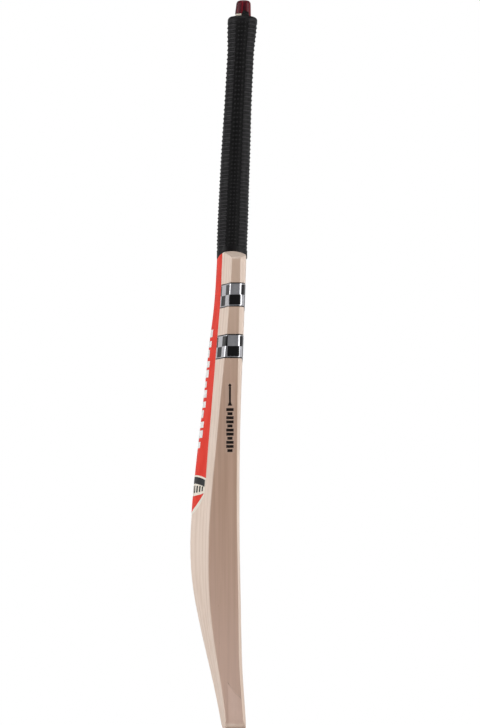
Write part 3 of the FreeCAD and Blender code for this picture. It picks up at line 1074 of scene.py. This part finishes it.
def make_edge_marks(ink):
    """A thin pin with a diamond head over a ladder of plain bars, on both edges."""
    for node, side in (("edge_label_left", "-x"), ("edge_label_right", "+x")):
        lo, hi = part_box(node)
        middle = (lo.y + hi.y) / 2
        top = hi.z - EDGE_MARGIN
        foot = top - PIN_FOOT
        head_middle = top - HEAD_HEIGHT / 2
        head = [(middle, top), (middle + HEAD_HALF, head_middle), (middle, top - HEAD_HEIGHT),
                (middle - HEAD_HALF, head_middle)]
        pin = [(middle - PIN_HALF, top - PIN_TOP), (middle - PIN_HALF, foot + PIN_FLARE),
               (middle - PIN_FOOT_HALF, foot), (middle + PIN_FOOT_HALF, foot),
               (middle + PIN_HALF, foot + PIN_FLARE), (middle + PIN_HALF, top - PIN_TOP)]
        outlines = [head, pin]
        low = lo.z + EDGE_MARGIN
        space = (foot - LADDER_GAP - low) / LADDER_BARS
        for k in range(LADDER_BARS):
            reach = LADDER_LONG if k % 3 else LADDER_SHORT
            base = low + space * k
            outlines.append(rectangle(middle - reach, middle + reach,
                                      base, base + LADDER_HEIGHT * space))
        printed("edge_marks" + node[len("edge_label"):], outlines, tree_of(node), side, ink,
                step=6 * MM, thickness=INK_THICKNESS)


def make_toe_seams(glue):
    """The dark line of adhesive along the slanting end of the toe film."""
    lo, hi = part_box("toe_guard")
    tree = tree_of("toe_guard", "blade")
    front = (lo.y + SEAM_FRONT[0], lo.z + SEAM_FRONT[1])
    back = (hi.y + SEAM_BACK[0], hi.z + SEAM_BACK[1])
    line = []
    for k in range(SEAM_STEPS + 1):
        t = k / SEAM_STEPS
        bow = SEAM_BOW * math.sin(math.pi * t)
        line.append((front[0] + (back[0] - front[0]) * t,
                     front[1] + (back[1] - front[1]) * t - bow))
    outline = line + [(y, z + SEAM_WIDTH) for y, z in reversed(line)]
    for name, side in (("toe_seam_left", "-x"), ("toe_seam_right", "+x")):
        printed(name, [outline], tree, side, glue, step=5 * MM,
                thickness=SEAM_THICKNESS)


# ---------------------------------------------------------------- stage

CAMERA_DISTANCE = 6.1
CAMERA_HEIGHT = 0.006
CAMERA_TARGET = (0, -4.6 * MM, 0.4273)
PICTURE_HEIGHT = 0.8548
SENSOR = 36.0
FLOOR_REACH = 9.0
WORLD_LIGHT = (0.20, 0.20, 0.205, 1)
WORLD_SEEN = (1, 1, 1, 1)
# Name, place, width, height, power, and the height that each light aims at.
LIGHTS = [
    ("spine_side_light", (-0.7, 2.4, 1.0), 1.6, 2.2, 39, 0.4),
    ("face_side_light", (-0.5, -2.4, 1.0), 1.6, 2.2, 38, 0.4),
    ("spine_side_backdrop", (2.2, 2.0, 0.7), 2.2, 2.2, 8, 0.4),
    ("face_side_backdrop", (2.2, -2.0, 0.7), 2.2, 2.2, 8, 0.4),
    ("top_light", (-0.6, 0.0, 2.6), 1.4, 1.4, 12, 0.4),
    ("toe_light", (-1.2, -0.7, 0.7), 0.5, 0.4, 1.6, 0.1),
]


def make_camera():
    """A long lens level with the toe, looking at the bat's edge with its face on the right."""
    camera = bpy.data.objects.new("camera", bpy.data.cameras.new("camera"))
    bpy.context.scene.collection.objects.link(camera)
    target = Vector(CAMERA_TARGET)
    camera.location = (-CAMERA_DISTANCE, target.y, CAMERA_HEIGHT)
    aim = target - camera.location
    camera.rotation_euler = aim.to_track_quat("-Z", "Y").to_euler()
    camera.data.sensor_width = SENSOR
    camera.data.lens = SENSOR / 2 / (PICTURE_HEIGHT / 2 / aim.length)
    camera.data.clip_start = 0.1
    bpy.context.scene.camera = camera


def softbox(name, place, width, height, power, aim_height):
    data = bpy.data.lights.new(name, "AREA")
    data.shape = "RECTANGLE"
    data.size, data.size_y = width, height
    data.energy = power
    light = bpy.data.objects.new(name, data)
    bpy.context.scene.collection.objects.link(light)
    light.location = place
    aim = Vector((0, 0, aim_height)) - light.location
    light.rotation_euler = aim.to_track_quat("-Z", "Y").to_euler()


def make_world():
    """A dim world for lighting, which the camera sees as white."""
    world = bpy.data.worlds.new("studio")
    bpy.context.scene.world = world
    world.use_nodes = True
    tree = world.node_tree
    path = tree.nodes.new("ShaderNodeLightPath")
    mix = tree.nodes.new("ShaderNodeMix")
    mix.data_type = "RGBA"
    mix.inputs[FIRST_COLOUR].default_value = WORLD_LIGHT
    mix.inputs[SECOND_COLOUR].default_value = WORLD_SEEN
    tree.links.new(path.outputs["Is Camera Ray"], mix.inputs["Factor"])
    tree.links.new(mix.outputs[MIXED_COLOUR], tree.nodes["Background"].inputs["Color"])


def make_floor():
    mesh = bpy.data.meshes.new("floor")
    corners = rectangle(-FLOOR_REACH, FLOOR_REACH, -FLOOR_REACH, FLOOR_REACH)
    mesh.from_pydata([(x, y, 0) for x, y in corners], [], [(0, 1, 2, 3)])
    mesh.materials.append(paper_floor())
    floor = bpy.data.objects.new("floor", mesh)
    bpy.context.scene.collection.objects.link(floor)


def make_studio():
    bpy.context.scene.view_settings.view_transform = "Standard"
    make_world()
    for light in LIGHTS:
        softbox(*light)
    make_floor()


# ---------------------------------------------------------------- the bat

def dress(name, material):
    """Give a carried-over node its material."""
    node = NODES[name]
    node.data.materials.clear()
    node.data.materials.append(material)


def make_bat():
    black = vinyl("black_vinyl", (0.0055, 0.0055, 0.006), (0.0035, 0.0035, 0.004), 0.30, 0.22)
    white = vinyl("white_vinyl", (0.86, 0.85, 0.83), (0.80, 0.78, 0.76))
    cream = vinyl("cream_vinyl", (0.84, 0.78, 0.68), (0.78, 0.71, 0.60))
    red = vinyl("red_vinyl", (0.78, 0.031, 0.011), (0.72, 0.026, 0.009), 0.42, 0.20)
    ink = vinyl("edge_ink", (0.006, 0.002, 0.001), (0.010, 0.004, 0.002), 0.5, 0.15)
    dress("blade", willow())
    tones = [cane("cane_pale", 1.06), cane("cane_mid", 0.95), cane("cane_deep", 0.86)]
    for index, name in enumerate(SLIPS):
        dress(name, tones[(index * 2) % len(tones)])
    rubber = sheet_rubber()
    for name in SPRINGS:
        dress(name, rubber)
    dress("twine_binding", twine())
    dress("spine_label", red)
    dress("shield_label", cream)
    decal = filmed_willow("edge_decal_film", 0.05, (0.80, 0.70, 0.62), 0.38)
    dress("edge_label_left", decal)
    dress("edge_label_right", decal)
    dress("toe_guard", filmed_willow("toe_film", 0.28, (0.84, 0.64, 0.55), 0.36))
    silver = foil()
    make_band("upper_check_band", "upper_checks", black, silver)
    make_band("lower_check_band", "lower_checks", black, silver)
    make_spine_marks(white)
    make_shield_marks(black, red)
    make_edge_marks(ink)
    make_toe_seams(filmed_willow("toe_glue", 0.40, (0.27, 0.14, 0.10), 0.4))
    make_grip(grip_rubber())
    make_knob(lacquer())


make_camera()
make_studio()
make_bat()
